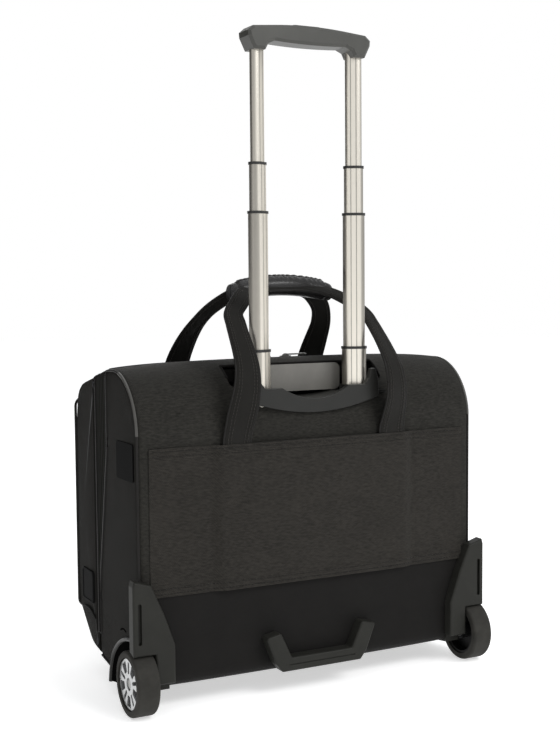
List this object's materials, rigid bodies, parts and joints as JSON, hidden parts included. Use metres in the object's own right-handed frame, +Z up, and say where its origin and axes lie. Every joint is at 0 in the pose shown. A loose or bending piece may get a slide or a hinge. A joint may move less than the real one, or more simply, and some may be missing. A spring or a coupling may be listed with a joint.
{
  "type": "rolling laptop case",
  "caption": "Soft-sided rolling laptop case with a telescoping twin-pole handle, carry straps, corner wheels, zipped compartments and a sleeve across the back.",
  "frame": {"origin": "on the floor, under the middle of the whole case", "axes": "+Z up, +Y to the back of the case where the trolley poles are, +X across the width; the case stands on its wheels and front feet at z = 0"},
  "size_m": [0.468, 0.2493, 0.768],
  "materials": {
    "shell_fabric": "black ballistic nylon with a fine horizontal rib",
    "plain_fabric": "smooth black polyester",
    "webbing": "folded and stitched nylon straps",
    "lining": "grey polyester lining",
    "zipper_tape": "woven zipper tape with black coil",
    "leather": "glossy black leather",
    "dark_plastic": "satin dark grey moulded plastic",
    "black_plastic": "matt black moulded plastic",
    "grey_plastic": "satin mid grey moulded plastic",
    "tab_rubber": "blank black rubber tab",
    "tube_metal": "champagne anodised, fine lengthwise grain",
    "steel": "plain steel",
    "rim_silver": "silver painted, satin",
    "tyre_rubber": "dark soft tread",
    "slider_metal": "bright nickel zipper slider"
  },
  "bodies": {
    "case": {"rear_shell": "shell_fabric", "back_board": "lining", "base_plate": "black_plastic", "back_sleeve_band": "shell_fabric", "handle_housing": "dark_plastic", "recess_liner": "plain_fabric", "recess_plate": "grey_plastic", "outer_tubes": "tube_metal", "tube_bracket": "black_plastic", "wheel_bracket_right": "dark_plastic", "wheel_bracket_left": "dark_plastic", "corner_guard_right": "dark_plastic", "corner_guard_left": "dark_plastic", "axle_right": "steel", "axle_left": "steel", "skid_bar": "dark_plastic", "front_feet": "black_plastic", "end_tabs": "tab_rubber", "laptop_sleeve": "lining", "main_zip_rear_tape": "zipper_tape", "rear_strap_anchors": "webbing"},
    "stage_4": {"stage_4_tubes": "tube_metal", "stage_4_guides": "black_plastic", "stage_4_collars": "black_plastic"},
    "stage_3": {"stage_3_tubes": "tube_metal", "stage_3_guides": "black_plastic", "stage_3_collars": "black_plastic"},
    "stage_2": {"stage_2_tubes": "tube_metal", "stage_2_guides": "black_plastic", "stage_2_collars": "black_plastic"},
    "stage_1": {"stage_1_tubes": "tube_metal", "stage_1_guides": "black_plastic", "grip_lower": "dark_plastic", "grip_upper": "dark_plastic", "button_springs": "steel"},
    "button": {"grip_button": "dark_plastic", "release_rods": "steel"},
    "wheel_right": {"rim_right": "rim_silver", "tyre_right": "tyre_rubber", "wheel_bearings_right": "steel"},
    "wheel_left": {"rim_left": "rim_silver", "tyre_left": "tyre_rubber", "wheel_bearings_left": "steel"},
    "middle": {"middle_section": "plain_fabric", "middle_zip_tapes": "zipper_tape", "organiser_pocket": "lining"},
    "front": {"front_shell": "plain_fabric", "front_zip_front_tape": "zipper_tape", "front_strap_anchors": "webbing"},
    "front_handle": {"front_handle_straps": "webbing", "front_grip_wrap": "leather"},
    "rear_handle": {"rear_handle_straps": "webbing", "rear_grip_wrap": "leather"},
    "main_zip_right": {"main_slider_right": "slider_metal"},
    "main_zip_left": {"main_slider_left": "slider_metal"},
    "front_zip_right": {"front_slider_right": "slider_metal"},
    "front_zip_left": {"front_slider_left": "slider_metal"}
  },
  "joints": [
    {"name": "stage_4_slide", "type": "slide", "parent": "case", "child": "stage_4", "axis": [0, 0, 1], "range_m": [-0.0412, 0.112]},
    {"name": "stage_3_slide", "type": "slide", "parent": "stage_4", "child": "stage_3", "axis": [0, 0, 1], "range_m": [-0.1537, 0]},
    {"name": "stage_2_slide", "type": "slide", "parent": "stage_3", "child": "stage_2", "axis": [0, 0, 1], "range_m": [-0.0516, 0.1]},
    {"name": "stage_1_slide", "type": "slide", "parent": "stage_2", "child": "stage_1", "axis": [0, 0, 1], "range_m": [-0.124, 0]},
    {"name": "button_press", "type": "slide", "parent": "stage_1", "child": "button", "axis": [0, 0, 1], "range_m": [-0.0025, 0], "stiffness_N_per_m": 700, "springref_m": 0.003, "deforming": ["button_springs"]},
    {"name": "wheel_right_spin", "type": "hinge", "parent": "case", "child": "wheel_right", "pos_m": [0.221, 0.08795, 0.0365], "axis": [1, 0, 0], "continuous": true},
    {"name": "wheel_left_spin", "type": "hinge", "parent": "case", "child": "wheel_left", "pos_m": [-0.221, 0.08795, 0.0365], "axis": [1, 0, 0], "continuous": true},
    {"name": "middle_open", "type": "hinge", "parent": "case", "child": "middle", "pos_m": [0, -0.0416, 0.0386], "axis": [1, 0, 0], "range_deg": [0, 22]},
    {"name": "front_open", "type": "hinge", "parent": "middle", "child": "front", "pos_m": [0, -0.0427, 0.036], "axis": [1, 0, 0], "range_deg": [0, 28]},
    {"name": "front_handle_fold", "type": "hinge", "parent": "front", "child": "front_handle", "pos_m": [0, -0.1034, 0.364], "axis": [1, 0, 0], "range_deg": [0, 150]},
    {"name": "rear_handle_lean", "type": "hinge", "parent": "case", "child": "rear_handle", "pos_m": [0, 0.0996, 0.362], "axis": [1, 0, 0], "range_deg": [-6, 0]},
    {"name": "main_zip_right_slide", "type": "slide", "parent": "case", "child": "main_zip_right", "axis": [1, 0, 0], "range_m": [0, 0.165]},
    {"name": "main_zip_left_slide", "type": "slide", "parent": "case", "child": "main_zip_left", "axis": [-1, 0, 0], "range_m": [0, 0.165]},
    {"name": "front_zip_right_slide", "type": "slide", "parent": "middle", "child": "front_zip_right", "axis": [1, 0, 0], "range_m": [0, 0.165]},
    {"name": "front_zip_left_slide", "type": "slide", "parent": "middle", "child": "front_zip_left", "axis": [-1, 0, 0], "range_m": [0, 0.165]}
  ]
}
